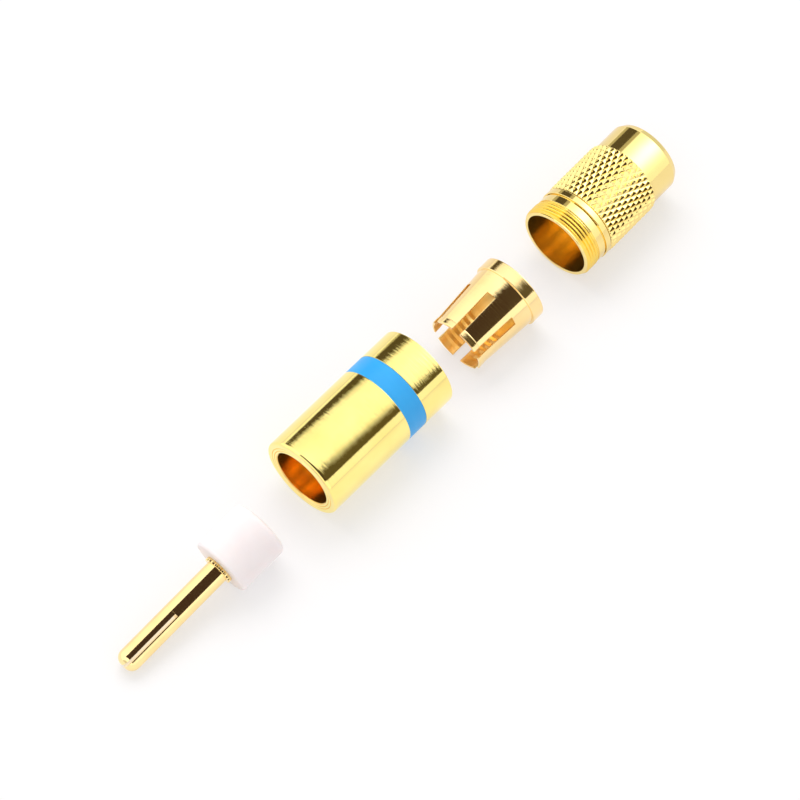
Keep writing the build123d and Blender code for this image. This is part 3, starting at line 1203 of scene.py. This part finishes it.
@dataclass(frozen=True)
class Dome:
    """Pale tent over the row with a softbox behind its right end, as polished metal shows it."""

    patch: Patch = Patch("dome", ((-0.9, -30, 205), (0.9, -30, 205)), 960.0)

    def build(self) -> None:
        """Paints the tent.

        With x and a as in Patch, its light is 1.1 + 0.2 e(-((a-85)/50)^2) + 0.2 (1 - r(x; 0.2, 0.32))
        + 2 r(x; 0.35, 0.47) e(-((a-108)/27)^2), where r is a ramp and e the exponential.
        """
        paint = bpy.data.materials.new(self.patch.name)
        bench = Bench(paint)
        place = bench.add("ShaderNodeSeparateXYZ", None, {0: bench.object_space()})
        node = place.socket.node
        x = Signal(bench, node.outputs[0]) * (1.0 / (self.patch.distance * MM))
        angle = Signal(bench, node.outputs[2]).angle(Signal(bench, node.outputs[1]))
        light = (1.1 + angle.hill(85.0, 50.0) * 0.2 + (1.0 - x.ramp(0.2, 0.32)) * 0.2
                 + x.ramp(0.35, 0.47) * angle.hill(108.0, 27.0) * 2.0)
        bench.surface(bench.glow((1.0, 1.0, 1.0, 1.0), light))
        self.patch.build(paint)


@dataclass
class Studio:
    """Pale floor, even surround, one broad soft light, what the polished metal mirrors, and the camera."""

    elevation: float = 60.98
    azimuth: float = 48.755
    distance: float = 432.18
    focal_px: float = 3334.56
    frame_px: float = 800.0
    sensor_mm: float = 36.0
    target: tuple[float, float, float] = (1.99, 1.035, 0.0)
    surround: float = 0.78
    lamp_place: tuple[float, float, float] = (0.25, 0.45, 0.85)
    lamp_size: tuple[float, float] = (0.9, 0.6)
    lamp_power: float = 5.0
    floor_reach: float = 3000.0
    floor_drop: float = 0.02
    floor_cells: int = 8

    def camera(self) -> None:
        """Camera at the photograph's angle, looking along (cos e sin a, cos e cos a, -sin e)."""
        e, a = math.radians(self.elevation), math.radians(self.azimuth)
        forward = Vector((math.cos(e) * math.sin(a), math.cos(e) * math.cos(a), -math.sin(e)))
        data = bpy.data.cameras.new("view")
        data.sensor_width, data.lens = self.sensor_mm, self.sensor_mm * self.focal_px / self.frame_px
        data.clip_start, data.clip_end = 0.01, 20.0
        camera = bpy.data.objects.new("view", data)
        camera.location = (Vector(self.target) - forward * self.distance) * MM
        camera.rotation_mode = "QUATERNION"
        camera.rotation_quaternion = forward.to_track_quat("-Z", "Y")
        bpy.context.scene.collection.objects.link(camera)
        bpy.context.scene.camera = camera

    def world(self) -> None:
        """Even surround: plain white to the camera, a shade under it to everything else."""
        world = bpy.data.worlds.new("surround")
        bpy.context.scene.world = world
        bench = Bench(world)
        camera_ray = bench.add("ShaderNodeLightPath", None, None, "Is Camera Ray")
        shade = bench.blend(camera_ray, (self.surround,) * 3, (1.0, 1.0, 1.0))
        bench.surface(bench.add("ShaderNodeBackground", None, {"Color": shade, "Strength": 1.0}))

    def floor(self) -> None:
        """Pale paper floor.

        The light sees a matt sheet. To the camera and to mirrors half of that sheet is a glow: white to
        the camera, and to mirrors a tint that sinks along the row.
        """
        count = self.floor_cells + 1
        grid = np.linspace(-self.floor_reach, self.floor_reach, count)
        x, y = np.meshgrid(grid, grid, indexing="ij")
        points = np.stack([x, y, np.full_like(x, -self.floor_drop)], axis=-1).reshape(-1, 3)
        floor = Mould.cast("floor", points, lattice(count, count, False, False)[:, ::-1])
        paper = bpy.data.materials.new("floor_paper")
        bench = Bench(paper)
        speck = bench.noise(bench.object_space(), 900.0, 2.0)
        matt = bench.add("ShaderNodeBsdfDiffuse", None, {
            "Color": bench.blend(speck * 0.4, (0.96, 0.94, 0.945), (0.95, 0.925, 0.93)), "Roughness": 0.5})
        rays = bench.add("ShaderNodeLightPath", None, None, "Is Camera Ray")
        glossy = Signal(bench, rays.socket.node.outputs["Is Glossy Ray"])
        along = bench.add("ShaderNodeSeparateXYZ", None, {0: bench.object_space()})
        mirrored = bench.blend(along.ramp(0.0, 0.055), (1.15, 1.15, 1.2), (0.82, 0.76, 0.86))
        sheen = bench.blend(glossy, (1.0, 1.0, 1.0), mirrored)
        bench.surface(bench.add("ShaderNodeMixShader", None, {
            0: rays * 0.5 + glossy * 0.5, 1: matt, 2: bench.glow(sheen)}))
        floor.data.materials.append(paper)

    def softbox(self) -> None:
        """Broad soft light above and behind the row. Mirrors don't see it: the tent stands in for it."""
        data = bpy.data.lights.new("softbox", "AREA")
        data.shape, data.energy = "RECTANGLE", self.lamp_power
        data.size, data.size_y = self.lamp_size
        lamp = bpy.data.objects.new("softbox", data)
        lamp.location = self.lamp_place
        lamp.visible_glossy = False
        lamp.rotation_mode = "QUATERNION"
        lamp.rotation_quaternion = (-Vector(lamp.location)).to_track_quat("-Z", "Y")
        bpy.context.scene.collection.objects.link(lamp)

    def cards(self) -> None:
        """What the metal mirrors: a pale tent, the camera's dark side, and a dark gap with a paler edge."""
        Dome().build()
        camera_side = Patch("card_camera", (
            (-0.5, 62, 158), (-0.05, 68, 155), (0.05, 66, 155), (0.22, 104, 155), (0.26, 114, 158),
            (0.31, 130, 158), (0.33, 136, 161), (0.36, 143, 161), (0.38, 148, 161), (0.41, 155, 161)), 900.0)
        DarkCard(camera_side, (0.056, 0.033, 0.025), (0.115, 0.092, 0.052)).build()
        gap = Patch("card_gap", ((0.3, 12, 20), (0.33, 8, 28), (0.345, 8, 32), (0.36, 9, 36), (0.38, 10, 42),
                                 (0.43, 14, 46), (0.6, 9, 40)), 900.0)
        DarkCard(gap, (0.10, 0.08, 0.05), (0.10, 0.08, 0.05)).build()
        edge = Patch("card_gap_edge", ((0.37, 6, 44), (0.4, 2, 50), (0.43, 2, 56), (0.6, 0, 52)), 930.0)
        DarkCard(edge, (0.5, 0.46, 0.36), (0.5, 0.46, 0.36)).build()

    def set_up(self) -> None:
        """Builds the whole studio."""
        self.camera()
        self.world()
        self.floor()
        self.softbox()
        self.cards()
        bpy.context.scene.view_settings.view_transform = "Standard"


def main() -> None:
    """Builds the studio and the dressed part."""
    logging.basicConfig(level=logging.INFO, format="%(name)s %(message)s")
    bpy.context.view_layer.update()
    Studio().set_up()
    Row().build()


if __name__ == "__main__":
    main()
